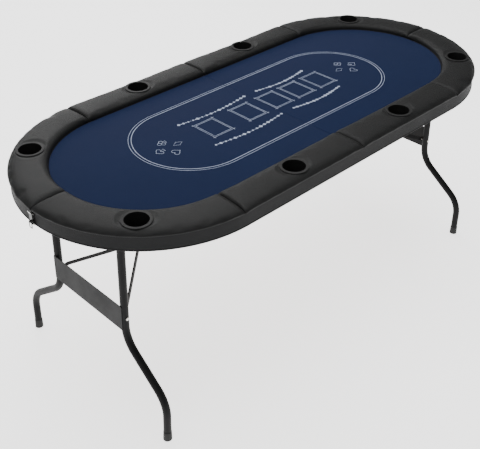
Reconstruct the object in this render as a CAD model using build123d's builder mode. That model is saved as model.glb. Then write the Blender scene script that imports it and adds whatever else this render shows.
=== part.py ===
# Folding eight-seat card table: two D-shaped halves hinged at the middle, each with its own
# folding leg frame, an over-centre stay, four drop-in cup holders and a padded arm rail.
# Millimetres. X runs along the table, Y across it (front is -Y), Z up from the floor.
# The fold line is x = 0 and the floor is z = 0. The left half is at -X, the right half at +X.
import math
import os

from build123d import *

os.makedirs("parts", exist_ok=True)

# Whole table
table_length = 1829.0
table_width = 847.0
table_height = 760.0
half_gap = 0.25             # each half stops this short of the fold line

# Padded rail
rail_width = 119.5
rail_overhang = 5.0         # the pads stand this far past the apron
pad_height = 18.0
pad_edge_radius = 8.0
pad_seam_gap = 0.4
side_seam_x = 504.0         # seam between a straight pad and an end pad

# Layers of each half
rail_board_thickness = 6.0
deck_thickness = 9.0
foam_thickness = 2.5
cloth_thickness = 1.5
apron_height = 46.0
apron_thickness = 8.0
cross_rail_width = 24.0

# Cup holders
cup_inner_radius = 35.0
cup_wall = 2.0
cup_depth = 56.0
cup_rim_radius = 44.0
cup_rim_height = 1.8
cup_fit = 0.3
straight_cup_x = 251.0
end_cup_angle = 45.0

# Leg frames
tube_radius = 12.5
tube_wall = 1.2
foot_x = 776.0              # at the floor
leg_lean = 0.0415           # the frame leans in by this much for each millimetre it rises
leg_cup_gap = 14.21         # from an end cup holder to the end of the pivot tube
leg_spread = 186.0          # how far each foot stands outside the top of its leg
bend_top_z = 287.0
bend_bottom_z = 147.0
leg_bend_radius = 103.0
tube_to_deck = 2.5
pivot_tube_overhang = 22.5
panel_height = 90.0
panel_top_z = 417.0
panel_overlap = 4.0         # past each tube's centre line
panel_thickness = 1.8
foot_cap_radius = 14.3
foot_cap_height = 32.0
foot_cap_floor = 4.0

# Stays: a fork of flat bars on the leg frame and a channel strut under the deck
stay_pivot_z = 370.0
bar_height = 13.0
bar_leg_gap = 3.1           # between a bar's eye and the leg tube
bar_end_run = 21.7          # straight run out of the leg eye
knee_end_run = 13.0         # straight run into the knee eye
bar_bend_radius = 14.0
eye_radius = 7.5
eye_thickness = 4.0
rivet_radius = 3.0
rivet_head_radius = 5.2
rivet_head_height = 2.0
strut_width = 16.0
strut_depth = 14.0
strut_wall = 1.5
strut_anchor_inset = 36.0   # from the fold line
strut_anchor_drop = 21.0    # below the deck
stop_play = 2.0             # between the strut's stop and the bars under it
knee_reserve = 0.2          # the two links are together this much longer than their open span
anchor_plate = (32.0, 46.0, 2.0)
anchor_screw_y = 17.0
side_gap = 0.3              # between moving pieces that lie side by side
running_gap = 0.08          # between a pin and the hole that turns on it

# Leg pivot clips
clip_width = 14.0
clip_thickness = 1.6
clip_flange = 16.0

# Fold hinges
hinge_y = 250.0
hinge_length = 64.0
leaf_width = 21.0
leaf_thickness = 2.0
knuckle_radius = 3.5
hinge_pin_radius = 1.5
fold_gap = 0.3              # from the fold axis up to the bottom of the apron

# Wood screws
screw_radius = 1.8
screw_length = 7.0
screw_head_radius = 3.6
screw_head_height = 1.8

# Latch on the left end, catch on the right end
latch_width = 22.0
latch_height = 41.0
latch_plate = 1.5
latch_top_drop = 4.0        # from the bottom of the rail pad to the plate
lever_width = 14.4
lever_thickness = 1.8
lever_pin_radius = 1.5
lever_pin_out = 5.5         # from the apron's face
lever_pin_up = 5.0          # from the plate's lower edge
bail_wire_radius = 1.2
bail_out = 9.9
bail_up = 11.0              # bail pivot above the plate's lower edge
bail_width = 12.4
bail_height = 20.0
latch_projection = 12.5
catch_height = 20.0
latch_rivet_radius = 1.6

# Worked out from the sizes above
rail_radius = table_width / 2
straight_half = table_length / 2 - rail_radius
rail_inner_radius = rail_radius - rail_width
apron_radius = rail_radius - rail_overhang
board_radius = apron_radius - apron_thickness
cup_ring_radius = rail_radius - rail_width / 2
cup_outer_radius = cup_inner_radius + cup_wall
end_cup_y = cup_ring_radius * math.sin(math.radians(end_cup_angle))
leg_top_y = end_cup_y - cup_outer_radius - leg_cup_gap - pivot_tube_overhang - tube_radius
leg_foot_y = leg_top_y + leg_spread
cup_hole_radius = cup_outer_radius + cup_fit
rail_base_z = table_height - pad_height
deck_top_z = rail_base_z - rail_board_thickness
deck_bottom_z = deck_top_z - deck_thickness
apron_bottom_z = rail_base_z - apron_height
fold_axis_z = apron_bottom_z - fold_gap
leaf_bottom_z = fold_axis_z + fold_gap / 2
cross_rail_bottom_z = leaf_bottom_z + leaf_thickness

lean_angle = math.atan(leg_lean)
pivot_z = deck_bottom_z - tube_to_deck - tube_radius
pivot_x = foot_x - leg_lean * pivot_z
leg_length = pivot_z / math.cos(lean_angle)

# The stay folds flat along the leg, and its knee lies just under the straight line when it is open
anchor_x = strut_anchor_inset
anchor_z = deck_bottom_z - strut_anchor_drop
stay_pivot_x = foot_x - leg_lean * stay_pivot_z
stay_drop = (pivot_z - stay_pivot_z) / math.cos(lean_angle)
span_x = stay_pivot_x - anchor_x
span_z = anchor_z - stay_pivot_z
open_span = math.hypot(span_x, span_z)


def strut_for(fork):
    folded_knee_x = pivot_x - stay_drop + fork
    return math.hypot(folded_knee_x - anchor_x, pivot_z - anchor_z)


fork_length = (open_span - pivot_x + anchor_x + stay_drop) / 2
for _ in range(20):
    fork_length += (open_span + knee_reserve - fork_length - strut_for(fork_length)) / 2
strut_length = strut_for(fork_length)
cos_at_anchor = (strut_length**2 + open_span**2 - fork_length**2) / (2 * strut_length * open_span)
strut_angle = math.atan2(span_z, span_x) + math.acos(min(1.0, cos_at_anchor))
knee_x = anchor_x + strut_length * math.cos(strut_angle)
knee_z = anchor_z - strut_length * math.sin(strut_angle)
fork_angle = math.atan2(knee_z - stay_pivot_z, stay_pivot_x - knee_x)
fork_turn = math.pi / 2 - lean_angle - fork_angle
strut_turn = strut_angle + math.asin((pivot_z - anchor_z) / strut_length)
leg_turn = math.pi / 2 + lean_angle
bar_leg_y = leg_top_y - tube_radius - bar_leg_gap - eye_thickness / 2
bar_knee_y = strut_width / 2 + side_gap + eye_thickness / 2

hinge_places = (-hinge_y, hinge_y)
sides = {"left": -1, "right": 1}
rows = {"front": -1, "back": 1}


def save(part, name):
    part.label = name
    export_step(part, f"parts/{name}.step")


def half_plan(radius, side, mode=Mode.ADD):
    # A half's outline: straight long sides and a round end
    near = side * half_gap
    far = side * straight_half
    outline = [
        Line((near, -radius), (far, -radius), mode=Mode.PRIVATE),
        ThreePointArc((far, -radius), (side * (straight_half + radius), 0), (far, radius),
                      mode=Mode.PRIVATE),
        Line((far, radius), (near, radius), mode=Mode.PRIVATE),
        Line((near, radius), (near, -radius), mode=Mode.PRIVATE),
    ]
    make_face(outline, mode=mode)


def cup_centres(side):
    reach = math.radians(end_cup_angle)
    end_x = straight_half + cup_ring_radius * math.cos(reach)
    end_y = cup_ring_radius * math.sin(reach)
    return [(side * x, row * y) for row in (-1, 1)
            for x, y in ((straight_cup_x, cup_ring_radius), (end_x, end_y))]


def upright_cylinder(x, y, low, high, radius, mode=Mode.ADD):
    with Locations((x, y, low)):
        Cylinder(radius, high - low, align=(Align.CENTER, Align.CENTER, Align.MIN), mode=mode)


def cross_pin(x, y_from, y_to, z, radius, mode=Mode.ADD):
    # A round pin or hole along Y
    with Locations(Location((x, (y_from + y_to) / 2, z), (90, 0, 0))):
        Cylinder(radius, abs(y_to - y_from), mode=mode)


def clip_screw_places(side):
    reach = tube_radius + clip_thickness + clip_flange / 2
    y = leg_top_y + tube_radius + clip_width / 2 + side_gap
    return [(side * (pivot_x + dx), dy) for dx in (-reach, reach) for dy in (-y, y)]


def anchor_screw_places(side):
    return [(side * anchor_x, -anchor_screw_y), (side * anchor_x, anchor_screw_y)]


def hinge_screw_places(side):
    x = side * (leaf_width / 2 + knuckle_radius / 2)
    return [(x, y + dy) for y in hinge_places for dy in (-hinge_length / 4, hinge_length / 4)]


def frame_plane(side):
    # Lies in the leg frame, origin on its pivot: local X is Y, local Y runs up the legs
    return Plane(origin=(side * pivot_x, 0, pivot_z), x_dir=(0, 1, 0),
                 z_dir=(math.cos(lean_angle), 0, side * math.sin(lean_angle)))


def down_leg(z):
    return -(pivot_z - z) / math.cos(lean_angle)


for side_name, side in sides.items():
    # Wooden deck board with its cup holes and screw pilots
    with BuildPart() as deck:
        with BuildSketch(Plane.XY.offset(deck_bottom_z)):
            half_plan(board_radius, side)
        extrude(amount=deck_thickness)
        for x, y in cup_centres(side):
            upright_cylinder(x, y, deck_bottom_z, deck_top_z, cup_hole_radius, Mode.SUBTRACT)
        for x, y in clip_screw_places(side) + anchor_screw_places(side):
            upright_cylinder(x, y, deck_bottom_z, deck_bottom_z + screw_length - clip_thickness,
                             screw_radius, Mode.SUBTRACT)
    save(deck.part, f"{side_name}_deck_board")

    # Foam underlay and stretched playing cloth inside the rail
    with BuildPart() as foam:
        with BuildSketch(Plane.XY.offset(deck_top_z)):
            half_plan(rail_inner_radius, side)
        extrude(amount=foam_thickness)
    save(foam.part, f"{side_name}_foam_underlay")

    with BuildPart() as cloth:
        with BuildSketch(Plane.XY.offset(deck_top_z + foam_thickness)):
            half_plan(rail_inner_radius, side)
        extrude(amount=cloth_thickness)
    save(cloth.part, f"{side_name}_playing_cloth")

    # Board under the padded rail
    with BuildPart() as rail_board:
        with BuildSketch(Plane.XY.offset(deck_top_z)):
            half_plan(board_radius, side)
            half_plan(rail_inner_radius, side, Mode.SUBTRACT)
        extrude(amount=rail_board_thickness)
        for x, y in cup_centres(side):
            upright_cylinder(x, y, deck_top_z, rail_base_z, cup_hole_radius, Mode.SUBTRACT)
    save(rail_board.part, f"{side_name}_rail_board")

    # Upright apron round the outside
    with BuildPart() as apron:
        with BuildSketch(Plane.XY.offset(apron_bottom_z)):
            half_plan(apron_radius, side)
            half_plan(board_radius, side, Mode.SUBTRACT)
        extrude(amount=apron_height)
    save(apron.part, f"{side_name}_apron")

    # Rail along the fold line, grooved for the hinge knuckles
    with BuildPart() as cross_rail:
        with BuildSketch(Plane.XY.offset(cross_rail_bottom_z)):
            with Locations((side * (half_gap + cross_rail_width / 2), 0)):
                Rectangle(cross_rail_width, 2 * board_radius)
        extrude(amount=deck_bottom_z - cross_rail_bottom_z)
        for y in hinge_places:
            groove = hinge_length / 2 + 1
            cross_pin(0, y - groove, y + groove, fold_axis_z, knuckle_radius + 0.5, Mode.SUBTRACT)
        for x, y in hinge_screw_places(side):
            upright_cylinder(x, y, cross_rail_bottom_z, leaf_bottom_z + 2 * screw_length,
                             screw_radius, Mode.SUBTRACT)
    save(cross_rail.part, f"{side_name}_cross_rail")

    # Four rail pads, parted by seams, each with a hole for its cup holder
    for row_name, row in rows.items():
        spans = {"straight": (half_gap, side_seam_x), "end": (side_seam_x, table_length / 2)}
        for pad_name, (near_x, far_x) in spans.items():
            with BuildPart() as pad:
                with BuildSketch(Plane.XY.offset(rail_base_z)):
                    half_plan(rail_radius, side)
                    half_plan(rail_inner_radius, side, Mode.SUBTRACT)
                    with Locations((side * (near_x + far_x) / 2, row * rail_radius / 2)):
                        Rectangle(far_x - near_x - pad_seam_gap, rail_radius - pad_seam_gap,
                                  mode=Mode.INTERSECT)
                extrude(amount=pad_height)
                top_edges = pad.faces().sort_by(Axis.Z)[-1].outer_wire().edges()
                fillet(top_edges, pad_edge_radius)
                for x, y in cup_centres(side):
                    upright_cylinder(x, y, rail_base_z, table_height, cup_hole_radius,
                                     Mode.SUBTRACT)
            save(pad.part, f"{side_name}_{row_name}_{pad_name}_pad")

    # Drop-in cup holders
    with BuildPart() as cups:
        rim_top = table_height + cup_rim_height
        cup_floor = rim_top - cup_depth
        for x, y in cup_centres(side):
            upright_cylinder(x, y, table_height, rim_top, cup_rim_radius)
            upright_cylinder(x, y, cup_floor - cup_wall, table_height, cup_outer_radius)
        fillet(cups.faces().filter_by(Plane.XY).group_by(Axis.Z)[-1].edges(), cup_rim_height * 0.7)
        fillet(cups.faces().filter_by(Plane.XY).group_by(Axis.Z)[0].edges(), cup_wall)
        for x, y in cup_centres(side):
            upright_cylinder(x, y, cup_floor, rim_top, cup_inner_radius, Mode.SUBTRACT)
    save(cups.part, f"{side_name}_cup_holders")

    # Leaf of each fold hinge: the left leaf has the two outer knuckles, the right leaf the middle
    third = hinge_length / 3
    if side < 0:
        own = [(-1.5 * third, -0.5 * third), (0.5 * third, 1.5 * third)]
        other = [(-0.5 * third, 0.5 * third)]
    else:
        own = [(-0.5 * third + side_gap, 0.5 * third - side_gap)]
        other = [(-1.5 * third, -0.5 * third + side_gap), (0.5 * third - side_gap, 1.5 * third)]
    with BuildPart() as leaves:
        with BuildSketch(Plane.XY.offset(leaf_bottom_z)):
            with Locations(*[(side * leaf_width / 2, y) for y in hinge_places]):
                Rectangle(leaf_width, hinge_length)
            for y in hinge_places:
                for low, high in other:
                    with Locations((0, y + (low + high) / 2)):
                        Rectangle(2 * (knuckle_radius + 0.7), high - low, mode=Mode.SUBTRACT)
        extrude(amount=leaf_thickness)
        for y in hinge_places:
            for low, high in own:
                cross_pin(0, y + low, y + high, fold_axis_z, knuckle_radius)
                cross_pin(0, y + low, y + high, fold_axis_z, hinge_pin_radius + running_gap,
                          Mode.SUBTRACT)
        for x, y in hinge_screw_places(side):
            with Locations(Location((x, y, leaf_bottom_z), (180, 0, 0))):
                CounterSinkHole(screw_radius, screw_head_radius, leaf_thickness)
    save(leaves.part, f"{side_name}_hinge_leaves")

    # Wood screws: round heads under the clips and the stay anchor, flush heads in the hinges
    with BuildPart() as screws:
        round_heads = [(place, clip_thickness) for place in clip_screw_places(side)]
        round_heads += [(place, anchor_plate[2]) for place in anchor_screw_places(side)]
        for (x, y), plate in round_heads:
            seat = deck_bottom_z - plate
            upright_cylinder(x, y, seat - screw_head_height, seat, screw_head_radius)
            upright_cylinder(x, y, seat, deck_bottom_z + screw_length - clip_thickness,
                             screw_radius)
        for x, y in hinge_screw_places(side):
            upright_cylinder(x, y, leaf_bottom_z, leaf_bottom_z + 2 * screw_length, screw_radius)
            with Locations((x, y, leaf_bottom_z)):
                Cone(screw_head_radius, screw_radius, screw_head_radius - screw_radius,
                     align=(Align.CENTER, Align.CENTER, Align.MIN))
    save(screws.part, f"{side_name}_wood_screws")

    # Saddle clips that hold the leg frame's pivot tube under the deck
    with BuildPart() as clips:
        inner = tube_radius + running_gap
        outer = inner + clip_thickness
        clip_y = leg_top_y + tube_radius + side_gap
        for row in rows.values():
            start = row * clip_y
            with BuildSketch(Plane.XZ.offset(-start)):
                with Locations((side * pivot_x, pivot_z)):
                    Circle(outer)
                with Locations((side * pivot_x, (pivot_z + deck_bottom_z) / 2)):
                    Rectangle(2 * outer, deck_bottom_z - pivot_z)
                with Locations((side * pivot_x, deck_bottom_z - clip_thickness / 2)):
                    Rectangle(2 * (outer + clip_flange), clip_thickness)
                with Locations((side * pivot_x, pivot_z)):
                    Circle(inner, mode=Mode.SUBTRACT)
                with Locations((side * pivot_x, (pivot_z + deck_bottom_z) / 2)):
                    Rectangle(2 * inner, deck_bottom_z - pivot_z, mode=Mode.SUBTRACT)
            extrude(amount=-row * clip_width)
        for x, y in clip_screw_places(side):
            upright_cylinder(x, y, deck_bottom_z - clip_thickness, deck_bottom_z, screw_radius,
                             Mode.SUBTRACT)
    save(clips.part, f"{side_name}_leg_pivot_clips")

    # Anchor under the deck for the strut, and its pin
    cheek_y = strut_width / 2 + side_gap
    with BuildPart() as anchor:
        with Locations((side * anchor_x, 0, deck_bottom_z - anchor_plate[2] / 2)):
            Box(anchor_plate[0] / 2, *anchor_plate[1:])
        for row in rows.values():
            with BuildSketch(Plane.XZ.offset(-row * cheek_y)):
                with Locations((side * anchor_x, (anchor_z + deck_bottom_z) / 2)):
                    Rectangle(2 * eye_radius, deck_bottom_z - anchor_z)
                with Locations((side * anchor_x, anchor_z)):
                    Circle(eye_radius)
                    Circle(rivet_radius, mode=Mode.SUBTRACT)
            extrude(amount=-row * anchor_plate[2])
        for x, y in anchor_screw_places(side):
            upright_cylinder(x, y, deck_bottom_z - anchor_plate[2], deck_bottom_z, screw_radius,
                             Mode.SUBTRACT)
    save(anchor.part, f"{side_name}_strut_anchor")

    with BuildPart() as anchor_pin:
        half = cheek_y + anchor_plate[2]
        cross_pin(side * anchor_x, -half, half, anchor_z, rivet_radius)
        for row in rows.values():
            cross_pin(side * anchor_x, row * half, row * (half + rivet_head_height), anchor_z,
                      rivet_head_radius)
    save(anchor_pin.part, f"{side_name}_strut_anchor_pin")

    # Leg tubes with an S bend, coped to the pivot tube
    plane = frame_plane(side)
    for row_name, row in rows.items():
        with BuildPart() as leg:
            with BuildLine(plane) as leg_path:
                FilletPolyline((row * leg_top_y, 0),
                               (row * leg_top_y, down_leg(bend_top_z)),
                               (row * leg_foot_y, down_leg(bend_bottom_z)),
                               (row * leg_foot_y, -(leg_length - foot_cap_floor)),
                               radius=leg_bend_radius)
            with BuildSketch(Plane(leg_path.line @ 0, z_dir=leg_path.line % 0)):
                Circle(tube_radius)
                Circle(tube_radius - tube_wall, mode=Mode.SUBTRACT)
            sweep(path=leg_path.line)
            cross_pin(side * pivot_x, row * (leg_top_y - 2 * tube_radius),
                      row * (leg_top_y + 2 * tube_radius), pivot_z, tube_radius, Mode.SUBTRACT)
            cross_pin(side * stay_pivot_x, row * (leg_top_y - 2 * tube_radius),
                      row * (leg_top_y + 2 * tube_radius), stay_pivot_z, rivet_radius,
                      Mode.SUBTRACT)
        save(leg.part, f"{side_name}_{row_name}_leg_tube")

    pivot_half = leg_top_y + pivot_tube_overhang + tube_radius
    with BuildPart() as pivot_tube:
        cross_pin(side * pivot_x, -pivot_half, pivot_half, pivot_z, tube_radius)
        cross_pin(side * pivot_x, -pivot_half, pivot_half, pivot_z, tube_radius - tube_wall,
                  Mode.SUBTRACT)
    save(pivot_tube.part, f"{side_name}_pivot_tube")

    # Sheet panel welded across the outer faces of the two legs
    with BuildPart() as panel:
        with BuildSketch(plane.offset(side * tube_radius)):
            with Locations((0, down_leg(panel_top_z) - panel_height / 2)):
                RectangleRounded(2 * (leg_top_y + panel_overlap), panel_height, 3)
        extrude(amount=side * panel_thickness)
    save(panel.part, f"{side_name}_cross_panel")

    # Moulded caps on the feet, flat on the floor
    with BuildPart() as caps:
        for row in rows.values():
            foot_plane = Plane(origin=plane.from_local_coords((row * leg_foot_y, -leg_length, 0)),
                               x_dir=(0, 1, 0), z_dir=plane.y_dir)
            with BuildSketch(foot_plane.offset(-1)):
                Circle(foot_cap_radius)
            extrude(amount=foot_cap_height + 1, taper=1.5)
            with BuildSketch(foot_plane.offset(foot_cap_floor)):
                Circle(tube_radius)
            extrude(amount=foot_cap_height, mode=Mode.SUBTRACT)
        with Locations((side * foot_x, 0, 0)):
            Box(200, 2 * table_width, 50, align=(Align.CENTER, Align.CENTER, Align.MAX),
                mode=Mode.SUBTRACT)
    save(caps.part, f"{side_name}_foot_caps")

    # Rivets that join the stay's fork to the legs, with a shoulder that spaces the eye
    with BuildPart() as leg_rivets:
        for row in rows.values():
            outer_y = leg_top_y + tube_radius
            inner_y = bar_leg_y - eye_thickness / 2 - side_gap
            cross_pin(side * stay_pivot_x, row * inner_y, row * outer_y, stay_pivot_z,
                      rivet_radius)
            cross_pin(side * stay_pivot_x, row * inner_y, row * (inner_y - rivet_head_height),
                      stay_pivot_z, rivet_head_radius)
            cross_pin(side * stay_pivot_x, row * outer_y, row * (outer_y + rivet_head_height),
                      stay_pivot_z, rivet_head_radius)
            cross_pin(side * stay_pivot_x, row * (bar_leg_y + eye_thickness / 2 + side_gap),
                      row * (leg_top_y - tube_radius), stay_pivot_z, rivet_head_radius)
    save(leg_rivets.part, f"{side_name}_stay_rivets")

    # Forked stay: two bent flat bars standing on edge, with a round eye at each end
    fork_plane = Plane(origin=(side * stay_pivot_x, 0, stay_pivot_z),
                       x_dir=(-side * math.cos(fork_angle), 0, math.sin(fork_angle)),
                       z_dir=(-math.sin(fork_angle), 0, -side * math.cos(fork_angle)))
    with BuildPart() as fork:
        for row in rows.values():
            with BuildLine(fork_plane) as bar_path:
                FilletPolyline((rivet_radius + 1, row * bar_leg_y),
                               (bar_end_run, row * bar_leg_y),
                               (fork_length - knee_end_run, row * bar_knee_y),
                               (fork_length - rivet_radius - 1, row * bar_knee_y),
                               radius=(bar_bend_radius, bar_bend_radius / 2))
            start = Plane(bar_path.line @ 0, x_dir=fork_plane.z_dir, z_dir=bar_path.line % 0)
            with BuildSketch(start):
                Rectangle(bar_height, eye_thickness)
            sweep(path=bar_path.line)
            ends = ((stay_pivot_x, stay_pivot_z, bar_leg_y, running_gap),
                    (knee_x, knee_z, bar_knee_y, 0))
            for x, z, y, gap in ends:
                cross_pin(side * x, row * (y - eye_thickness / 2), row * (y + eye_thickness / 2),
                          z, eye_radius)
                cross_pin(side * x, row * (y - eye_thickness), row * (y + eye_thickness), z,
                          rivet_radius + gap, Mode.SUBTRACT)
    save(fork.part, f"{side_name}_stay_fork")

    # Knee rivets, split where the two links slide past each other
    with BuildPart() as knee_rivets:
        for row in rows.values():
            head_y = bar_knee_y + eye_thickness / 2
            cross_pin(side * knee_x, row * (bar_knee_y - eye_thickness / 2), row * head_y, knee_z,
                      rivet_radius)
            cross_pin(side * knee_x, row * head_y, row * (head_y + rivet_head_height), knee_z,
                      rivet_head_radius)
    save(knee_rivets.part, f"{side_name}_knee_rivets")

    with BuildPart() as knee_pin:
        cross_pin(side * knee_x, -strut_width / 2, strut_width / 2, knee_z, rivet_radius)
    save(knee_pin.part, f"{side_name}_knee_pin")

    # Channel strut from the anchor to the knee, open underneath, with a stop over the fork
    strut_plane = Plane(origin=(side * anchor_x, 0, anchor_z),
                        x_dir=(side * math.cos(strut_angle), 0, -math.sin(strut_angle)),
                        z_dir=(0, -side, 0))
    with BuildPart() as strut:
        with BuildSketch(strut_plane):
            with Locations((strut_length / 2, 0)):
                SlotCenterToCenter(strut_length, strut_depth)
        extrude(amount=strut_width / 2, both=True)
        with BuildSketch(strut_plane):
            with Locations((strut_length / 2, -strut_wall - strut_depth / 2)):
                Rectangle(strut_length + strut_depth - 2 * strut_wall, 2 * strut_depth)
        extrude(amount=strut_width / 2 - strut_wall, both=True, mode=Mode.SUBTRACT)
        web_z = strut_depth / 2 - strut_wall
        stop_x = strut_length + eye_radius + 4
        stop_z = bar_height / 2 + stop_play
        with BuildSketch(strut_plane.offset(-strut_width / 2)):
            with Locations(((strut_length + stop_x + 3) / 2, web_z + strut_wall / 2)):
                Rectangle(stop_x + 3 - strut_length, strut_wall)
            with Locations((stop_x, (web_z + stop_z + strut_wall) / 2)):
                Rectangle(6, stop_z + strut_wall - web_z)
        extrude(amount=strut_width)
        stop_half = bar_knee_y + eye_thickness / 2
        with BuildSketch(strut_plane.offset(-stop_half)):
            with Locations((stop_x, stop_z + strut_wall / 2)):
                Rectangle(6, strut_wall)
        extrude(amount=2 * stop_half)
        cross_pin(side * anchor_x, -strut_width, strut_width, anchor_z,
                  rivet_radius + running_gap, Mode.SUBTRACT)
        cross_pin(side * knee_x, -strut_width, strut_width, knee_z, rivet_radius, Mode.SUBTRACT)
    save(strut.part, f"{side_name}_stay_strut")

# Fold hinge pins
with BuildPart() as hinge_pins:
    for y in hinge_places:
        cross_pin(0, y - hinge_length / 2, y + hinge_length / 2, fold_axis_z, hinge_pin_radius)
save(hinge_pins.part, "hinge_pins")

# Draw latch on the left end: base plate with ears, lever and wire bail
end_face = straight_half + apron_radius
latch_high = rail_base_z - latch_top_drop
latch_low = latch_high - latch_height
lever_z = latch_low + lever_pin_up
bail_z = latch_low + bail_up
ear_y = lever_width / 2 + 0.8
ear_thickness = 1.5


def outward(distance):
    return -(end_face + distance)


def plate_block(out_from, out_to, y_from, y_to, z_from, z_to, mode=Mode.ADD, mirror_x=1):
    x = mirror_x * (outward(out_from) + outward(out_to)) / 2
    with Locations((x, (y_from + y_to) / 2, (z_from + z_to) / 2)):
        Box(abs(out_to - out_from), abs(y_to - y_from), abs(z_to - z_from), mode=mode)


rivet_places = [(-latch_width / 4, latch_low + 0.85 * latch_height),
                (latch_width / 4, latch_low + 0.85 * latch_height)]

with BuildPart() as latch_base:
    plate_block(0, latch_plate, -latch_width / 2, latch_width / 2, latch_low, latch_high)
    fillet(latch_base.edges().filter_by(Axis.X), 3)
    for row in rows.values():
        plate_block(latch_plate, lever_pin_out, row * ear_y, row * (ear_y + ear_thickness),
                    lever_z - 4, lever_z + 4)
        cross_pin(outward(lever_pin_out), row * ear_y, row * (ear_y + ear_thickness), lever_z, 2.6)
    cross_pin(outward(lever_pin_out), -latch_width, latch_width, lever_z, lever_pin_radius,
              Mode.SUBTRACT)
    for y, z in rivet_places:
        with Locations(Location((outward(latch_plate / 2), y, z), (0, 90, 0))):
            Cylinder(latch_rivet_radius, 2 * latch_plate, mode=Mode.SUBTRACT)
save(latch_base.part, "latch_base")

with BuildPart() as latch_rivets:
    for y, z in rivet_places:
        with Locations(Location((outward(latch_plate / 2), y, z), (0, 90, 0))):
            Cylinder(latch_rivet_radius, latch_plate)
        with Locations(Location((outward(latch_plate + 0.5), y, z), (0, 90, 0))):
            Cylinder(1.8 * latch_rivet_radius, 1)
save(latch_rivets.part, "latch_rivets")

with BuildPart() as latch_pin:
    pin_half = ear_y + ear_thickness
    cross_pin(outward(lever_pin_out), -pin_half, pin_half, lever_z, lever_pin_radius)
    for row in rows.values():
        cross_pin(outward(lever_pin_out), row * pin_half, row * (pin_half + 0.8), lever_z, 2.2)
save(latch_pin.part, "latch_pin")

lever_face = lever_pin_out - lever_thickness / 2
lug_y = 2.2
with BuildPart() as latch_lever:
    plate_block(lever_face, lever_face + lever_thickness, -lever_width / 2, lever_width / 2,
                lever_z, latch_high - 1)
    cross_pin(outward(lever_pin_out), -lever_width / 2, lever_width / 2, lever_z, 2.9)
    with BuildSketch(Plane.XZ.offset(-lever_width / 2)):
        with BuildLine():
            lip = outward(lever_face + lever_thickness)
            Polyline((lip, latch_high - 1), (lip, latch_high - 5), (lip - 3.2, latch_high + 1.2),
                     (lip - 3.2, latch_high + 2.4), (lip, latch_high - 1))
        make_face()
    extrude(amount=lever_width)
    for row in rows.values():
        plate_block(lever_face + lever_thickness, bail_out, row * lug_y, row * (lug_y + 2),
                    bail_z - 2.4, bail_z + 2.4)
        cross_pin(outward(bail_out), row * lug_y, row * (lug_y + 2), bail_z,
                  latch_projection - bail_out)
    cross_pin(outward(lever_pin_out), -lever_width, lever_width, lever_z,
              lever_pin_radius + running_gap, Mode.SUBTRACT)
    cross_pin(outward(bail_out), -lever_width, lever_width, bail_z,
              bail_wire_radius + running_gap, Mode.SUBTRACT)
save(latch_lever.part, "latch_lever")

bail_plane = Plane(origin=(outward(bail_out), 0, bail_z), x_dir=(0, 1, 0), z_dir=(1, 0, 0))
with BuildSketch(bail_plane) as bail_outline:
    with Locations((0, -bail_height / 2)):
        RectangleRounded(bail_width, bail_height, 1.8)
bail_path = bail_outline.sketch.faces()[0].outer_wire()
with BuildPart() as latch_bail:
    with BuildSketch(Plane(bail_path @ 0, z_dir=bail_path % 0)):
        Circle(bail_wire_radius)
    sweep(path=bail_path)
save(latch_bail.part, "latch_bail")

# Catch on the right end, which the bail hooks when the table is folded
catch_low = latch_low + 1
catch_rivet_z = catch_low + 0.8 * catch_height
hook_z = catch_low + 4
with BuildPart() as latch_catch:
    plate_block(0, latch_plate, -9, 9, catch_low, catch_low + catch_height, mirror_x=-1)
    fillet(latch_catch.edges().filter_by(Axis.X), 3)
    plate_block(latch_plate, latch_projection, -4.5, 4.5, hook_z, hook_z + 2, mirror_x=-1)
    plate_block(latch_projection - 1.5, latch_projection, -4.5, 4.5, hook_z, hook_z + 7,
                mirror_x=-1)
    for row in rows.values():
        with Locations(Location((-outward(latch_plate / 2), row * 5, catch_rivet_z), (0, 90, 0))):
            Cylinder(latch_rivet_radius, 2 * latch_plate, mode=Mode.SUBTRACT)
save(latch_catch.part, "latch_catch")

with BuildPart() as catch_rivets:
    for row in rows.values():
        with Locations(Location((-outward(latch_plate / 2), row * 5, catch_rivet_z), (0, 90, 0))):
            Cylinder(latch_rivet_radius, latch_plate)
        place = (-outward(latch_plate + 0.5), row * 5, catch_rivet_z)
        with Locations(Location(place, (0, 90, 0))):
            Cylinder(1.8 * latch_rivet_radius, 1)
save(catch_rivets.part, "catch_rivets")
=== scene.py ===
import math
import bpy
import bmesh
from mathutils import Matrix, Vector


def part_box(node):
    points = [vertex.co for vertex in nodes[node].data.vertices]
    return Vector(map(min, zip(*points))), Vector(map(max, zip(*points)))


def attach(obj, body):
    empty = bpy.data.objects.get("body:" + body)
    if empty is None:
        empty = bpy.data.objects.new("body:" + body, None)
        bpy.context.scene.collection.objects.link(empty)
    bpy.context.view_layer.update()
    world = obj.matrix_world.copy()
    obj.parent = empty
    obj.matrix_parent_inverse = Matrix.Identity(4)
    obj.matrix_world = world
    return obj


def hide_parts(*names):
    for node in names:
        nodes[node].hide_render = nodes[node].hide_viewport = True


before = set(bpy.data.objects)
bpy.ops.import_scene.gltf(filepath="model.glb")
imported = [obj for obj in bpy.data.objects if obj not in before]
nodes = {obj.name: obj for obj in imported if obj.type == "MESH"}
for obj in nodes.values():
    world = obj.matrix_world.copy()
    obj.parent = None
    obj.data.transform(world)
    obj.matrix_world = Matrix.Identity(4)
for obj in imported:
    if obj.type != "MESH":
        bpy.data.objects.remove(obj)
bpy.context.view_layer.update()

sides = {"left": -1, "right": 1}
rows = {"front": -1, "back": 1}

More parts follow.
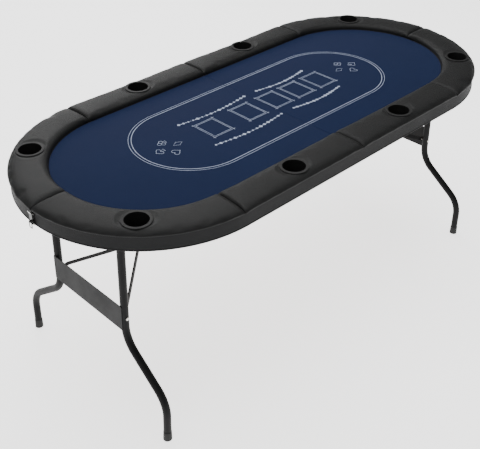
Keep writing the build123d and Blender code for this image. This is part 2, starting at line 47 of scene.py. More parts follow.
# The plan of the table, read from the frame in metres
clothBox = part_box("right_playing_cloth")
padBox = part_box("right_back_end_pad")
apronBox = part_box("right_apron")
railInner = clothBox[1][1]
railOuter = padBox[1][1]
halfStraight = clothBox[1][0] - railInner
railMiddle = (railInner + railOuter) / 2
padBottom = padBox[0][2]
clothTop = clothBox[1][2]
foldGap = clothBox[0][0]


class Wire:
    # a shader socket that adds its own Math nodes when it is used in a sum
    def __init__(self, finish, socket):
        self.finish = finish
        self.socket = socket

    def combine(self, operation, first, second):
        return self.finish.add("ShaderNodeMath", {"operation": operation}, {0: first, 1: second})

    def __add__(self, other):
        return self.combine("ADD", self, other)

    def __sub__(self, other):
        return self.combine("SUBTRACT", self, other)

    def __rsub__(self, other):
        return self.combine("SUBTRACT", other, self)

    def __mul__(self, other):
        return self.combine("MULTIPLY", self, other)

    def __pow__(self, other):
        return self.combine("POWER", self, other)

    __radd__ = __add__
    __rmul__ = __mul__


class Finish:
    def __init__(self, name):
        self.material = bpy.data.materials.new(name)
        self.material.use_nodes = True
        self.tree = self.material.node_tree
        self.tree.nodes.clear()
        self.output = self.tree.nodes.new("ShaderNodeOutputMaterial")

    def add(self, kind, settings=None, values=None, out=0):
        node = self.tree.nodes.new(kind)
        for key, value in (settings or {}).items():
            if key == "stops":
                ramp = node.color_ramp
                while len(ramp.elements) < len(value):
                    ramp.elements.new(0.5)
                for element, (place, colour) in zip(ramp.elements, value):
                    element.position = place
                    element.color = (*colour, 1) if len(colour) == 3 else colour
            else:
                setattr(node, key, value)
        for key, value in (values or {}).items():
            if isinstance(value, Wire):
                self.tree.links.new(value.socket, node.inputs[key])
            else:
                node.inputs[key].default_value = value
        return Wire(self, node.outputs[out])

    def place(self, scale=(1, 1, 1)):
        spot = self.add("ShaderNodeTexCoord", out="Object")
        return self.add("ShaderNodeMapping", None, {"Vector": spot, "Scale": scale})

    def speckle(self, scale, detail=2.0, roughness=0.5, stretch=(1, 1, 1)):
        return self.add("ShaderNodeTexNoise", None,
                        {"Vector": self.place(stretch), "Scale": scale, "Detail": detail,
                         "Roughness": roughness})

    def cells(self, scale, feature="F1"):
        return self.add("ShaderNodeTexVoronoi", {"feature": feature},
                        {"Vector": self.place(), "Scale": scale})

    def ramp(self, factor, stops):
        return self.add("ShaderNodeValToRGB", {"stops": stops}, {"Fac": factor})

    def grey(self, factor, low, high, darkest, lightest):
        return self.add("ShaderNodeMapRange", None,
                        {"Value": factor, "From Min": low, "From Max": high, "To Min": darkest,
                         "To Max": lightest})

    def tint(self, factor, first, second):
        mix = self.tree.nodes.new("ShaderNodeMix")
        mix.data_type = "RGBA"
        ends = {0: factor, 6: first, 7: second}
        for key, value in ends.items():
            if isinstance(value, Wire):
                self.tree.links.new(value.socket, mix.inputs[key])
            else:
                mix.inputs[key].default_value = value if key == 0 else (*value, 1)
        return Wire(self, mix.outputs[2])

    def relief(self, height, strength, depth, below=None):
        values = {"Height": height, "Strength": strength, "Distance": depth}
        if below is not None:
            values["Normal"] = below
        return self.add("ShaderNodeBump", None, values)

    def surface(self, **values):
        shader = self.add("ShaderNodeBsdfPrincipled", None,
                          {key.replace("_", " "): value for key, value in values.items()})
        self.tree.links.new(shader.socket, self.output.inputs["Surface"])
        return self.material


def grainedVinyl(name, dark, light, grain):
    f = Finish(name)
    patch = f.speckle(9, 3)
    fine = f.speckle(260, 3, 0.6)
    pebble = f.cells(grain["cells"], "DISTANCE_TO_EDGE")
    valley = f.grey(pebble, 0.0, 0.22, 0.0, 1.0)
    colour = f.tint(patch * 0.7 + fine * 0.3, dark, light)
    # painted shade: the pebble grain's valleys are darkened to 72 per cent of the dark tone
    colour = f.tint(valley, [c * 0.72 for c in dark], colour)
    rough = f.grey(patch * 0.6 + valley * 0.4, 0.2, 0.9, grain["rough"] + 0.08,
                   grain["rough"] - 0.05)
    skin = f.relief(valley + fine * 0.35, grain["strength"], 0.0005)
    drape = f.relief(f.speckle(38, 2), 0.22, 0.0016, skin)
    return f.surface(Base_Color=colour, Roughness=rough, Normal=drape,
                     Specular_IOR_Level=grain["shine"])


def speedCloth(name, dark, light):
    f = Finish(name)
    # two thread directions at 0.9 mm, worn a little unevenly
    warp = f.add("ShaderNodeTexWave", {"bands_direction": "DIAGONAL"},
                 {"Vector": f.place((1, 1, 0)), "Scale": 190, "Distortion": 0.6, "Detail": 1})
    weft = f.add("ShaderNodeTexWave", {"bands_direction": "DIAGONAL"},
                 {"Vector": f.place((1, -1, 0)), "Scale": 190, "Distortion": 0.6, "Detail": 1})
    thread = warp * 0.5 + weft * 0.5
    patch = f.speckle(5, 4, 0.6)
    fluff = f.speckle(420, 2, 0.7)
    colour = f.tint(patch * 0.45 + thread * 0.25 + fluff * 0.3, dark, light)
    rough = f.grey(fluff, 0.3, 0.7, 0.74, 0.92)
    weave = f.relief(thread + fluff * 0.8, 0.3, 0.0003)
    return f.surface(Base_Color=colour, Roughness=rough, Normal=weave, Sheen_Weight=0.015,
                     Sheen_Roughness=0.5, Specular_IOR_Level=0.08)


def printedInk(name, colour):
    f = Finish(name)
    fluff = f.speckle(520, 3, 0.7)
    worn = f.grey(fluff, 0.36, 0.66, 0.0, 1.0)
    shade = f.tint(worn, [c * 0.72 for c in colour], colour)
    return f.surface(Base_Color=shade, Roughness=f.grey(fluff, 0.3, 0.7, 0.7, 0.88),
                     Normal=f.relief(fluff, 0.25, 0.0002), Specular_IOR_Level=0.3)


def fibreBoard(name, dark, light):
    f = Finish(name)
    figure = f.speckle(14, 5, 0.62, (1, 9, 9))
    fibre = f.speckle(240, 3, 0.7, (1, 4, 4))
    colour = f.tint(figure * 0.6 + fibre * 0.4, dark, light)
    return f.surface(Base_Color=colour, Roughness=f.grey(fibre, 0.3, 0.7, 0.62, 0.85),
                     Normal=f.relief(figure * 0.4 + fibre, 0.3, 0.0004))


def openFoam(name, colour):
    f = Finish(name)
    pore = f.cells(900)
    # painted shade: each pore is darkened towards its middle, down to 35 per cent of the foam's
    # colour
    shade = f.tint(f.grey(pore, 0.1, 0.6, 0.0, 1.0), [c * 0.35 for c in colour], colour)
    return f.surface(Base_Color=shade, Roughness=0.95, Normal=f.relief(pore, 0.6, 0.0006))


def powderCoat(name, colour, worn, gloss):
    f = Finish(name)
    peel = f.speckle(210, 2, 0.5)
    dust = f.speckle(12, 4, 0.65)
    rub = f.speckle(70, 4, 0.75)
    marks = f.grey(rub, 0.66, 0.74, 0.0, 1.0)
    base = f.tint(dust, colour, [c * 1.5 for c in colour])
    base = f.tint(marks * 0.35, base, worn)
    return f.surface(Base_Color=base, Roughness=f.grey(dust, 0.3, 0.7, gloss, gloss + 0.14),
                     Normal=f.relief(peel, 0.16, 0.0004), Specular_IOR_Level=0.09)


def leverEnamel(name, colour, tip, tipLevel):
    # black enamel worn bright on the finger tip
    f = Finish(name)
    spot = f.add("ShaderNodeTexCoord", out="Object")
    height = f.add("ShaderNodeSeparateXYZ", None, {0: spot}, out=2)
    bright = f.grey(height + f.speckle(300) * 0.0008, tipLevel, tipLevel + 0.0008, 0.0, 1.0)
    return f.surface(Base_Color=f.tint(bright, colour, tip), Metallic=bright,
                     Roughness=f.grey(f.speckle(40), 0.3, 0.7, 0.2, 0.34),
                     Normal=f.relief(f.speckle(200), 0.1, 0.0003))


def platedSteel(name, colour, gloss):
    f = Finish(name)
    crystal = f.cells(160)
    brushed = f.speckle(60, 3, 0.6, (1, 14, 14))
    base = f.tint(crystal * 0.5 + brushed * 0.5, [c * 0.78 for c in colour], colour)
    return f.surface(Base_Color=base, Metallic=1.0, Normal=f.relief(brushed, 0.12, 0.0002),
                     Roughness=f.grey(brushed, 0.3, 0.7, gloss, gloss + 0.16))


def mouldedPlastic(name, colour, gloss, grain):
    f = Finish(name)
    stipple = f.speckle(grain, 2, 0.6)
    cloud = f.speckle(16, 3, 0.6)
    base = f.tint(cloud, colour, [c * 1.45 for c in colour])
    return f.surface(Base_Color=base, Roughness=f.grey(cloud, 0.3, 0.7, gloss, gloss + 0.12),
                     Normal=f.relief(stipple, 0.14, 0.0003), Specular_IOR_Level=0.22)


tones = {"pad": ((0.0056, 0.0058, 0.0059), (0.0090, 0.0092, 0.0091)),
         "apron": ((0.0092, 0.0094, 0.0099), (0.0130, 0.0133, 0.0139)),
         "cloth": ((0.0036, 0.0082, 0.0300), (0.0062, 0.0136, 0.0460)),
         "ink": (0.42, 0.48, 0.62)}

padVinyl = grainedVinyl("pad vinyl", *tones["pad"],
                        {"cells": 520, "rough": 0.52, "strength": 0.34, "shine": 0.16})
apronVinyl = grainedVinyl("apron vinyl", *tones["apron"],
                          {"cells": 560, "rough": 0.6, "strength": 0.3, "shine": 0.11})
hemVinyl = grainedVinyl("hem vinyl", (0.006, 0.006, 0.006), (0.011, 0.011, 0.011),
                        {"cells": 800, "rough": 0.5, "strength": 0.25, "shine": 0.26})
playCloth = speedCloth("playing cloth", *tones["cloth"])
ink = printedInk("printed ink", tones["ink"])
board = fibreBoard("fibre board", (0.16, 0.10, 0.055), (0.30, 0.20, 0.12))
darkBoard = fibreBoard("dark fibre board", (0.010, 0.009, 0.008), (0.022, 0.019, 0.016))
foam = openFoam("underlay foam", (0.10, 0.10, 0.11))
blackCoat = powderCoat("black powder coat", (0.0055, 0.0055, 0.0058), (0.03, 0.03, 0.03), 0.42)
blackEnamel = powderCoat("black enamel", (0.008, 0.008, 0.008), (0.06, 0.06, 0.06), 0.24)
leverFinish = leverEnamel("lever enamel", (0.008, 0.008, 0.008), (0.72, 0.72, 0.72),
                          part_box("latch_lever")[1][2] - 0.0075)
zinc = platedSteel("zinc plate", (0.62, 0.61, 0.58), 0.3)
cupPlastic = mouldedPlastic("cup plastic", (0.005, 0.005, 0.005), 0.55, 500)
footRubber = mouldedPlastic("foot rubber", (0.012, 0.012, 0.012), 0.62, 300)

boughtParts = {
    "apron": apronVinyl, "deck_board": board, "rail_board": darkBoard, "cross_rail": board,
    "cup_holders": cupPlastic, "hinge_leaves": zinc, "wood_screws": zinc,
    "leg_pivot_clips": zinc, "strut_anchor": zinc, "strut_anchor_pin": zinc,
    "front_leg_tube": blackCoat, "back_leg_tube": blackCoat, "pivot_tube": blackCoat,
    "cross_panel": blackCoat, "foot_caps": footRubber, "stay_rivets": zinc,
    "stay_fork": blackCoat, "knee_rivets": zinc, "stay_strut": blackCoat, "knee_pin": zinc,
    "hinge_pins": zinc, "latch_base": blackEnamel, "latch_rivets": zinc, "latch_pin": zinc,
    "latch_lever": leverFinish, "latch_bail": blackEnamel, "latch_catch": blackEnamel,
    "catch_rivets": zinc,
}


def dress(piece, material):
    piece.data.materials.clear()
    piece.data.materials.append(material)


for nodeName, node in nodes.items():
    plainName = nodeName.replace("left_", "").replace("right_", "")
    if plainName in boughtParts:
        dress(node, boughtParts[plainName])
print("finishes made")


def newPiece(name, points, faces, material, edges=()):
    mesh = bpy.data.meshes.new(name)
    mesh.from_pydata([tuple(p) for p in points], list(edges), faces)
    mesh.update()
    piece = bpy.data.objects.new(name, mesh)
    bpy.context.scene.collection.objects.link(piece)
    if material:
        piece.data.materials.append(material)
    return piece


def flatten(piece):
    # the modifiers' result becomes a plain mesh
    graph = bpy.context.evaluated_depsgraph_get()
    mesh = bpy.data.meshes.new_from_object(piece.evaluated_get(graph), depsgraph=graph)
    piece.modifiers.clear()
    old = piece.data
    piece.data = mesh
    bpy.data.meshes.remove(old)


def faceOut(piece, smooth=True, merge=True):
    work = bmesh.new()
    work.from_mesh(piece.data)
    if merge:
        bmesh.ops.remove_doubles(work, verts=work.verts, dist=1e-6)
    bmesh.ops.recalc_face_normals(work, faces=work.faces)
    for face in work.faces:
        face.smooth = smooth
    work.to_mesh(piece.data)
    work.free()


def railPoint(along, radius):
    # along the middle of the rail from the fold line at the back, at any distance from the spine
    if along <= halfStraight:
        return along, radius
    turn = (along - halfStraight) / railMiddle
    return halfStraight + radius * math.sin(turn), radius * math.cos(turn)


railPad = {
    # across the pad from the cloth side, millimetres from its middle and above its base
    "section": [(-60.1, -1.7), (-61.0, -0.6), (-61.4, 2.2), (-60.9, 6.0), (-59.0, 10.2),
                (-55.0, 13.9), (-48.0, 16.5), (-38.0, 18.0), (-22.0, 18.9), (-4.0, 18.9),
                (14.0, 18.2), (30.0, 16.7), (42.0, 14.6), (51.0, 11.7), (57.4, 8.0), (60.6, 4.6),
                (61.0, 2.0), (59.2, 0.5), (55.6, 0.15), (38.0, 0.1), (0.0, 0.1), (-38.0, 0.1),
                (-58.4, 0.1), (-59.3, -0.9)],
    "seamX": 0.504, "seamGap": 0.0003, "seamShare": 0.66, "seamReach": 0.017,
    "step": 0.0075, "pressure": 4.0, "slack": -0.012, "most": 0.0022, "frames": 20,
    "seamRows": (0.0012, 0.003, 0.0052), "ringPoints": 58,
    # cup holders: places along the rail, the dimple round each rim, and the hole
    "straightCupX": 0.251, "endCupTurn": 45, "rimRadius": 0.0445, "rimReach": 0.016,
    "dimpleFloor": 0.7592, "dimpleRise": 0.004, "dimpleStart": 0.009, "holeRadius": 0.0378,
    "holeSides": 48, "holeSpan": (0.72, 0.79), "cupNear": 0.03,
}


def smoothLoop(points, count):
    # evenly spread points on a closed Catmull-Rom curve
    dense = []
    for i in range(len(points)):
        a, b, c, d = (Vector(points[(i + k) % len(points)]) for k in (-1, 0, 1, 2))
        for j in range(8):
            t = j / 8
            dense.append(0.5 * (2 * b + (c - a) * t + (2 * a - 5 * b + 4 * c - d) * t * t
                                + (3 * b - a - 3 * c + d) * t ** 3))
    lengths = [0.0]
    for i in range(len(dense)):
        lengths.append(lengths[-1] + (dense[(i + 1) % len(dense)] - dense[i]).length)
    result = []
    k = 0
    for n in range(count):
        want = lengths[-1] * n / count
        while lengths[k + 1] < want:
            k += 1
        part = (want - lengths[k]) / max(lengths[k + 1] - lengths[k], 1e-9)
        result.append(dense[k].lerp(dense[(k + 1) % len(dense)], part))
    return result


def cupPlaces(side):
    turn = math.radians(railPad["endCupTurn"])
    straight = (railPad["straightCupX"], railMiddle)
    end = (halfStraight + railMiddle * math.sin(turn), railMiddle * math.cos(turn))
    return [(side * x, row * y) for x, y in (straight, end) for row in (-1, 1)]


def makePad(name, side, row, start, stop):
    size = railPad
    start += size["seamGap"]
    stop -= size["seamGap"]
    count = max(8, round((stop - start) / size["step"]))
    runs = [start + (stop - start) * i / count for i in range(count + 1)]
    # closer rows near each seam
    for end, sign in ((start, 1), (stop, -1)):
        runs += [end + sign * off for off in size["seamRows"]]
    runs = sorted(runs)
    ring = smoothLoop(size["section"], size["ringPoints"])
    points = []
    pinned = []
    for run in runs:
        near = min(run - start, stop - run)
        fall = max(0.0, 1 - near / size["seamReach"])
        share = 1 - (1 - size["seamShare"]) * fall ** 2.4
        for across, up in ring:
            tuck = 1 - 0.018 * fall ** 2
            # gathers that run out from each seam
            gather = 0.35 * math.exp(-near / 0.03) * math.sin(across * 0.55 + row * 2 + side)
            gather *= max(0.0, up / 18)
            lift = up * share + gather if up > 0.5 else up
            x, y = railPoint(run, railMiddle + across * tuck / 1000)
            points.append((side * x, row * y, padBottom + lift / 1000))
            pinned.append(1.0 if up < 0.6 or near < 0.0006 else 0.0)
    n = len(ring)
    faces = [(i * n + j, i * n + (j + 1) % n, (i + 1) * n + (j + 1) % n, (i + 1) * n + j)
             for i in range(len(runs) - 1) for j in range(n)]
    for base in (0, (len(runs) - 1) * n):
        middle = sum((Vector(points[base + j]) for j in range(n)), Vector()) / n
        points.append(middle)
        pinned.append(1.0)
        faces += [(base + j, base + (j + 1) % n, len(points) - 1) for j in range(n)]
    pad = newPiece(name, points, faces, padVinyl)
    group = pad.vertex_groups.new(name="held")
    for i, weight in enumerate(pinned):
        if weight:
            group.add([i], weight, "REPLACE")
    faceOut(pad, merge=False)
    return pad


def puff(pads):
    # a light blow-up in Cloth, with each point held near where it started
    scene = bpy.context.scene
    for pad in pads:
        cloth = pad.modifiers.new("puff", "CLOTH")
        settings = cloth.settings
        settings.quality = 4
        settings.mass = 0.4
        settings.use_pressure = True
        settings.uniform_pressure_force = railPad["pressure"]
        settings.shrink_min = railPad["slack"]
        settings.vertex_group_mass = "held"
        settings.effector_weights.gravity = 0
        cloth.collision_settings.use_collision = False
        cloth.point_cache.frame_start = 1
        cloth.point_cache.frame_end = railPad["frames"]
    for step in range(1, railPad["frames"] + 1):
        scene.frame_set(step)
    graph = bpy.context.evaluated_depsgraph_get()
    moved = {}
    for pad in pads:
        moved[pad] = [v.co.copy() for v in pad.evaluated_get(graph).data.vertices]
    for pad in pads:
        pad.modifiers.clear()
        for vertex, place in zip(pad.data.vertices, moved[pad]):
            shift = place - vertex.co
            if shift.length > railPad["most"]:
                shift = shift.normalized() * railPad["most"]
            vertex.co += shift
        pad.data.update()
    scene.frame_set(1)


def finishPad(pad, side):
    subdivide = pad.modifiers.new("fine", "SUBSURF")
    subdivide.levels = subdivide.render_levels = 1
    flatten(pad)
    size = railPad
    for vertex in pad.data.vertices:
        x, y, z = vertex.co
        for cx, cy in cupPlaces(side):
            beyond = math.hypot(x - cx, y - cy) - size["rimRadius"]
            if beyond < size["rimReach"] and z > padBottom + size["dimpleStart"]:
                grow = max(0.0, beyond) / size["rimReach"]
                vertex.co.z = min(z, size["dimpleFloor"] + size["dimpleRise"] * grow ** 1.6)
    cutters = []
    count = size["holeSides"]
    low, high = size["holeSpan"]
    for cx, cy in cupPlaces(side):
        nearest = min(math.hypot(v.co.x - cx, v.co.y - cy) for v in pad.data.vertices)
        if nearest >= size["cupNear"]:
            continue
        turns = [math.tau * i / count for i in range(count)]
        ring = [(cx + size["holeRadius"] * math.cos(t), cy + size["holeRadius"] * math.sin(t))
                for t in turns]
        points = [(x, y, low) for x, y in ring] + [(x, y, high) for x, y in ring]
        faces = [(i, (i + 1) % count, count + (i + 1) % count, count + i) for i in range(count)]
        faces += [tuple(reversed(range(count))), tuple(range(count, 2 * count))]
        cutters.append(newPiece("cutter", points, faces, None))
    for cutter in cutters:
        hole = pad.modifiers.new("cup hole", "BOOLEAN")
        hole.operation = "DIFFERENCE"
        hole.solver = "EXACT"
        hole.object = cutter
        flatten(pad)
        bpy.data.objects.remove(cutter)
    dress(pad, padVinyl)


seamRun = halfStraight + railMiddle * math.asin((railPad["seamX"] - halfStraight) / railMiddle)
endRun = halfStraight + railMiddle * math.pi / 2
pads = {}
for sideName, side in sides.items():
    for rowName, row in rows.items():
        for kind, start, stop in (("straight", foldGap, seamRun), ("end", seamRun, endRun)):
            padName = f"{sideName}_{rowName}_{kind}_pad"
            pads[padName] = makePad(padName.replace("_pad", "_rail_pad"), side, row, start, stop)
puff(list(pads.values()))
for padName, pad in pads.items():
    finishPad(pad, sides[padName.split("_")[0]])
    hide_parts(padName)
    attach(pad, padName.split("_")[0] + "_table")
print("rail pads made:", len(pads))


playing = {"roll": 0.0012, "rollDrop": 0.0011, "thickness": 0.0009, "tuck": 0.0003,
           "arcSteps": 48, "foamEdge": 0.0006, "foamInset": 0.0004, "foamFoldGap": 0.0002}


def halfOutline(side, radius, near, steps):
    # from the fold line at the front, round the end, to the fold line at the back
    turns = [math.pi * i / steps - math.pi / 2 for i in range(steps + 1)]
    line = [(near, -radius)]
    line += [(halfStraight + radius * math.cos(t), radius * math.sin(t)) for t in turns]
    line.append((near, radius))
    return [(side * x, y) for x, y in line]


for sideName, side in sides.items():
    size = playing
    rings = []
    for step in range(5):
        part = math.sin(math.pi / 2 * step / 4)
        inset = size["roll"] * (1 - math.cos(math.pi / 2 * step / 4))
        rings.append((inset, clothTop - size["rollDrop"] * (1 - part)))
    points = []
    for inset, z in rings:
        outline = halfOutline(side, railInner - size["tuck"] - inset, foldGap + inset,
                              size["arcSteps"])
        points += [(x, y, z) for x, y in outline]
    n = size["arcSteps"] + 3
    faces = [(i * n + j, i * n + (j + 1) % n, (i + 1) * n + (j + 1) % n, (i + 1) * n + j)
             for i in range(len(rings) - 1) for j in range(n)]
    last = (len(rings) - 1) * n
    # strips straight across keep the flat field even
    faces += [(last + j, last + j + 1, last + n - 2 - j, last + n - 1 - j)
              for j in range((n - 1) // 2)]
    cloth = newPiece(sideName + "_cloth", points, faces, playCloth)
    faceOut(cloth)
    if cloth.data.polygons[-1].normal.z < 0:
        cloth.data.flip_normals()
    skin = cloth.modifiers.new("thickness", "SOLIDIFY")
    skin.thickness = size["thickness"]
    skin.offset = -1
    flatten(cloth)
    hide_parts(sideName + "_playing_cloth")
    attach(cloth, sideName + "_table")
    straightArea = 2 * (railInner - size["tuck"]) * (halfStraight - foldGap)
    endArea = math.pi * (railInner - size["tuck"]) ** 2 / 2
    straightArea + endArea

    # underlay foam, with soft edges
    low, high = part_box(sideName + "_foam_underlay")
    edge = size["foamEdge"]
    levels = [(edge, low[2]), (0, low[2] + edge), (0, high[2] - edge), (edge, high[2])]
    points = []
    for inset, z in levels:
        outline = halfOutline(side, railInner - size["foamInset"] - inset,
                              foldGap + size["foamFoldGap"] + inset, size["arcSteps"])
        points += [(x, y, z) for x, y in outline]
    faces = [(i * n + j, i * n + (j + 1) % n, (i + 1) * n + (j + 1) % n, (i + 1) * n + j)
             for i in range(3) for j in range(n)]
    for base in (0, 3 * n):
        faces += [(base + j, base + j + 1, base + n - 2 - j, base + n - 1 - j)
                  for j in range((n - 1) // 2)]
    underlay = newPiece(sideName + "_underlay", points, faces, foam)
    faceOut(underlay, smooth=False)
    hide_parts(sideName + "_foam_underlay")
    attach(underlay, sideName + "_table")
print("playing surface made")


def startTree(name, sockets):
    tree = bpy.data.node_groups.new(name, "GeometryNodeTree")
    tree.interface.new_socket("Geometry", in_out="INPUT", socket_type="NodeSocketGeometry")
    for label, kind, value in sockets:
        socket = tree.interface.new_socket(label, in_out="INPUT", socket_type=kind)
        if value is not None:
            socket.default_value = value
    tree.interface.new_socket("Geometry", in_out="OUTPUT", socket_type="NodeSocketGeometry")
    return tree, tree.nodes.new("NodeGroupInput"), tree.nodes.new("NodeGroupOutput")


def endTree(tree, source, output, inputs):
    real = tree.nodes.new("GeometryNodeRealizeInstances")
    paint = tree.nodes.new("GeometryNodeSetMaterial")
    tree.links.new(source, real.inputs[0])
    tree.links.new(real.outputs[0], paint.inputs["Geometry"])
    tree.links.new(inputs.outputs["Finish"], paint.inputs["Material"])
    tree.links.new(paint.outputs[0], output.inputs[0])
    return tree


def bandTree():
    # a flat band of a given width and thickness along each line
    tree, given, output = startTree("band along a line", [
        ("Width", "NodeSocketFloat", 0.003), ("Thickness", "NodeSocketFloat", 0.0002),
        ("Finish", "NodeSocketMaterial", None)])
    make = tree.nodes.new
    link = tree.links.new
    curve = make("GeometryNodeMeshToCurve")
    normal = make("GeometryNodeSetCurveNormal")
    profile = make("GeometryNodeCurvePrimitiveQuadrilateral")
    band = make("GeometryNodeCurveToMesh")
    if hasattr(normal, "mode"):
        normal.mode = "Z_UP"
    else:
        normal.inputs["Mode"].default_value = "Z Up"
    band.inputs["Fill Caps"].default_value = True
    link(given.outputs["Geometry"], curve.inputs["Mesh"])
    link(curve.outputs[0], normal.inputs["Curve"])
    link(normal.outputs[0], band.inputs["Curve"])
    link(given.outputs["Width"], profile.inputs["Width"])
    link(given.outputs["Thickness"], profile.inputs["Height"])
    link(profile.outputs[0], band.inputs["Profile Curve"])
    return endTree(tree, band.outputs[0], output, given)


def roundTree():
    # a round cord of a given radius along each line, such as a hem
    tree, given, output = startTree("cord along a line", [
        ("Radius", "NodeSocketFloat", 0.0015), ("Step", "NodeSocketFloat", 0.006),
        ("Finish", "NodeSocketMaterial", None)])
    make = tree.nodes.new
    link = tree.links.new
    curve = make("GeometryNodeMeshToCurve")
    even = make("GeometryNodeResampleCurve")
    profile = make("GeometryNodeCurvePrimitiveCircle")
    tube = make("GeometryNodeCurveToMesh")
    shade = make("GeometryNodeSetShadeSmooth")
    if hasattr(even, "mode"):
        even.mode = "LENGTH"
    else:
        even.inputs["Mode"].default_value = "Length"
    profile.inputs["Resolution"].default_value = 12
    tube.inputs["Fill Caps"].default_value = True
    link(given.outputs["Geometry"], curve.inputs["Mesh"])
    link(curve.outputs[0], even.inputs["Curve"])
    link(given.outputs["Step"], even.inputs["Length"])
    link(even.outputs[0], tube.inputs["Curve"])
    link(given.outputs["Radius"], profile.inputs["Radius"])
    link(profile.outputs[0], tube.inputs["Profile Curve"])
    link(tube.outputs[0], shade.inputs["Geometry"])
    return endTree(tree, shade.outputs[0], output, given)


def beadTree():
    # beads of random size set evenly along each line
    tree, given, output = startTree("beads along a line", [
        ("Count", "NodeSocketInt", 20), ("Radius", "NodeSocketFloat", 0.004),
        ("Depth", "NodeSocketFloat", 0.0003), ("Corners", "NodeSocketInt", 4),
        ("Seed", "NodeSocketInt", 7), ("Finish", "NodeSocketMaterial", None)])
    make = tree.nodes.new
    link = tree.links.new
    curve = make("GeometryNodeMeshToCurve")
    spots = make("GeometryNodeCurveToPoints")
    bead = make("GeometryNodeMeshCylinder")
    place = make("GeometryNodeInstanceOnPoints")
    chance = make("FunctionNodeRandomValue")
    chance.data_type = "FLOAT"
    chance.inputs[2].default_value = 0.55
    chance.inputs[3].default_value = 1.0
    link(given.outputs["Geometry"], curve.inputs["Mesh"])
    link(curve.outputs[0], spots.inputs["Curve"])
    link(given.outputs["Count"], spots.inputs["Count"])
    link(given.outputs["Corners"], bead.inputs["Vertices"])
    link(given.outputs["Radius"], bead.inputs["Radius"])
    link(given.outputs["Depth"], bead.inputs["Depth"])
    link(given.outputs["Seed"], chance.inputs["Seed"])
    link(spots.outputs["Points"], place.inputs["Points"])
    link(bead.outputs["Mesh"], place.inputs["Instance"])
    link(chance.outputs[1], place.inputs["Scale"])
    return endTree(tree, place.outputs[0], output, given)


bandAlong = bandTree()
cordAlong = roundTree()
beadsAlong = beadTree()


def linePiece(name, lines, material):
    # each line is a list of 3-D points, with a flag that says whether it closes
    points = []
    edges = []
    for line, closes in lines:
        first = len(points)
        points += line
        edges += [(first + i, first + i + 1) for i in range(len(line) - 1)]
        if closes:
            edges.append((len(points) - 1, first))
    return newPiece(name, points, [], material, edges)


def alongLines(name, lines, tree, material, **values):
    piece = linePiece(name, lines, material)
    modifier = piece.modifiers.new("along", "NODES")
    modifier.node_group = tree
    values["Finish"] = material
    for item in tree.interface.items_tree:
        if item.in_out == "INPUT" and item.name in values:
            modifier[item.identifier] = values[item.name]
    flatten(piece)
    return piece


def joinPieces(name, parts):
    work = bmesh.new()
    for part in parts:
        work.from_mesh(part.data)
    mesh = bpy.data.meshes.new(name)
    work.to_mesh(mesh)
    work.free()
    material = parts[0].data.materials[0]
    for part in parts:
        bpy.data.objects.remove(part)
    piece = bpy.data.objects.new(name, mesh)
    bpy.context.scene.collection.objects.link(piece)
    piece.data.materials.append(material)
    return piece


layout = {
    "trackStraight": 0.326, "trackRadius": 0.1995, "trackInner": 0.1900,
    "outerWidth": 0.0014, "innerWidth": 0.0021, "inkDepth": 0.00024,
    "boxes": {"left": [-0.235, -0.079], "right": [0.046, 0.157, 0.269]},
    "boxHalf": (0.041, 0.051), "boxInner": 0.0055, "boxLine": 0.0014, "tick": 0.006,
    "rows": {"left": [(-0.305, -0.012)], "right": [(0.048, 0.279)]},
    "rowY": 0.088, "rowArch": 0.014, "suitX": 0.421, "suitSize": 0.028, "suitLine": 0.0013,
    "beadCount": 17, "beadRadius": 0.0076, "dotCount": 33, "dotRadius": 0.0024,
}
inkLevel = clothTop + layout["inkDepth"] / 2


def trackLine(side, radius):
    straight = layout["trackStraight"]
    turns = [math.pi * i / 60 - math.pi / 2 for i in range(61)]
    line = [(0.0016, -radius)]
    line += [(straight + radius * math.cos(t), radius * math.sin(t)) for t in turns]
    line.append((0.0016, radius))
    return [(side * x, y, inkLevel) for x, y in line]


def boxLine(cx, cy, halfX, halfY):
    corners = [(-halfX, -halfY), (halfX, -halfY), (halfX, halfY), (-halfX, halfY)]
    line = []
    for i, (x, y) in enumerate(corners):
        for dx, dy in ((corners[i - 1][0] - x, corners[i - 1][1] - y),
                       (corners[(i + 1) % 4][0] - x, corners[(i + 1) % 4][1] - y)):
            reach = math.hypot(dx, dy)
            point = (cx + x + dx / reach * 0.0004, cy + y + dy / reach * 0.0004, inkLevel)
            line.append(point)
    return line


def suitShape(kind, size):
    # heart, diamond, spade and club as flat outlines
    if kind == "diamond":
        return [(0.62 * size, 0), (0, size), (-0.62 * size, 0), (0, -size)]
    outline = []
    for i in range(48):
        t = math.tau * i / 48
        x = 16 * math.sin(t) ** 3 / 17
        y = (13 * math.cos(t) - 5 * math.cos(2 * t) - 2 * math.cos(3 * t) - math.cos(4 * t)) / 17
        outline.append((x * size * 0.92, y * size * 0.92))
    if kind == "spade":
        outline = [(x, -y * 0.85 + 0.12 * size) for x, y in outline]
    return outline


def stem(size):
    return [(-0.34 * size, -size), (0.34 * size, -size), (0.07 * size, -0.25 * size),
            (-0.07 * size, -0.25 * size)]


def club(size):
    shapes = []
    for cx, cy in ((0, 0.42), (-0.42, -0.18), (0.42, -0.18)):
        shapes.append([(size * (cx + 0.38 * math.cos(math.tau * i / 24)),
                        size * (cy + 0.38 * math.sin(math.tau * i / 24))) for i in range(24)])
    return shapes + [stem(size)]


def suitGroup(side):
    # four suits drawn in outline round a small ring, turned to face the end seat
    size = layout["suitSize"]
    reach = size * 1.28
    groups = [("spade", 0, reach), ("heart", reach, 0), ("diamond", 0, -reach), ("club", -reach, 0)]
    flat = []
    for kind, ox, oy in groups:
        small = size * 0.62
        shapes = club(small) if kind == "club" else [suitShape(kind, small)]
        if kind == "spade":
            shapes.append(stem(small))
        for shape in shapes:
            flat.append([(ox + x, oy + y) for x, y in shape])
    return [([(side * (layout["suitX"] + y), -x, inkLevel) for x, y in shape], True)
            for shape in flat]


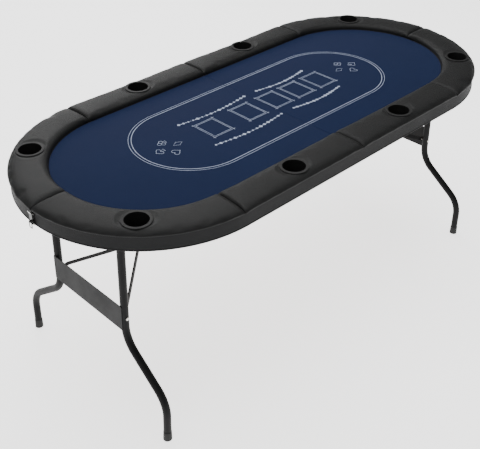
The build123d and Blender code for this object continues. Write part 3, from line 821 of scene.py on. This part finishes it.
for sideName, side in sides.items():
    size = layout
    parts = []
    for radius, width in (("trackRadius", "outerWidth"), ("trackInner", "innerWidth")):
        track = [(trackLine(side, size[radius]), False)]
        parts.append(alongLines("track", track, bandAlong, ink, Width=size[width],
                                Thickness=size["inkDepth"]))
    boxes = []
    halfX, halfY = size["boxHalf"]
    for cx in size["boxes"][sideName]:
        boxes.append((boxLine(cx, 0, halfX, halfY), True))
        boxes.append((boxLine(cx, 0, halfX - size["boxInner"], halfY - size["boxInner"]), True))
        for sx in (-1, 1):
            for sy in (-1, 1):
                x, y = cx + sx * halfX, sy * halfY
                boxes.append(([(x, y, inkLevel), (x + sx * size["tick"], y, inkLevel)], False))
                boxes.append(([(x, y, inkLevel), (x, y + sy * size["tick"], inkLevel)], False))
    parts.append(alongLines("boxes", boxes, bandAlong, ink, Width=size["boxLine"],
                            Thickness=size["inkDepth"]))
    # a plain beaded ornament either side of the boxes
    beads = []
    for start, stop in size["rows"][sideName]:
        for rowY in (size["rowY"], -size["rowY"]):
            line = []
            for i in range(25):
                part = i / 24
                bow = size["rowArch"] * math.sin(math.pi * part)
                line.append((start + (stop - start) * part, rowY - bow, inkLevel))
            beads.append((line, False))
    parts.append(alongLines("beads", beads, beadsAlong, ink, Count=size["beadCount"],
                            Radius=size["beadRadius"], Depth=size["inkDepth"], Corners=4, Seed=7))
    parts.append(alongLines("dots", beads, beadsAlong, ink, Count=size["dotCount"],
                            Radius=size["dotRadius"], Depth=size["inkDepth"], Corners=12, Seed=3))
    parts.append(alongLines("suits", suitGroup(side), bandAlong, ink, Width=size["suitLine"],
                            Thickness=size["inkDepth"]))
    printed = joinPieces(sideName + "_print", parts)
    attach(printed, sideName + "_table")
print("layout printed")


hem = {"radius": 0.0017, "step": 0.008}
for sideName, side in sides.items():
    apronRadius = apronBox[1][1]
    outline = halfOutline(side, apronRadius - 0.0002, foldGap + 0.0018, 90)
    line = [(x, y, apronBox[0][2] + hem["radius"]) for x, y in outline]
    piping = alongLines(sideName + "_apron_hem", [(line, False)], cordAlong, hemVinyl,
                        Radius=hem["radius"], Step=hem["step"])
    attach(piping, sideName + "_table")


floorMaterial = Finish("pale floor").surface(Base_Color=(0.72, 0.72, 0.72, 1), Roughness=0.9,
                                             Specular_IOR_Level=0.0, Emission_Strength=2.0,
                                             Emission_Color=(1, 1, 1, 1))
floor = newPiece("floor", [(-30, -30, 0), (30, -30, 0), (30, 30, 0), (-30, 30, 0)], [(0, 1, 2, 3)],
                 floorMaterial)

lamps = {
    "ceiling": {"at": (0.2, 0.6, 4.2), "size": 4.5, "power": 215},
    "window": {"at": (-3.6, -2.2, 3.2), "size": 2.8, "power": 42},
    "back": {"at": (1.8, 4.2, 2.8), "size": 3.0, "power": 95},
}
for lampName, lamp in lamps.items():
    light = bpy.data.lights.new(lampName, "AREA")
    light.shape = "DISK"
    light.size = lamp["size"]
    light.energy = lamp["power"]
    holder = bpy.data.objects.new(lampName, light)
    holder.location = lamp["at"]
    aim = Vector((0, 0, 0.5)) - Vector(lamp["at"])
    holder.rotation_euler = aim.to_track_quat("-Z", "Y").to_euler()
    bpy.context.scene.collection.objects.link(holder)

world = bpy.data.worlds.new("studio")
world.use_nodes = True
world.node_tree.nodes["Background"].inputs["Color"].default_value = (1, 1, 1, 1)
world.node_tree.nodes["Background"].inputs["Strength"].default_value = 0.32
bpy.context.scene.world = world

shot = {"at": (-1.7824, -1.7088, 1.9969), "yaw": 0.7727, "pitch": 0.6181, "lens": 61.17}
lensData = bpy.data.cameras.new("camera")
lensData.lens = shot["lens"]
lensData.sensor_width = 36
camera = bpy.data.objects.new("camera", lensData)
camera.location = shot["at"]
camera.rotation_euler = (math.pi / 2 - shot["pitch"], 0, -shot["yaw"])
bpy.context.scene.collection.objects.link(camera)
bpy.context.scene.camera = camera
print("studio set")
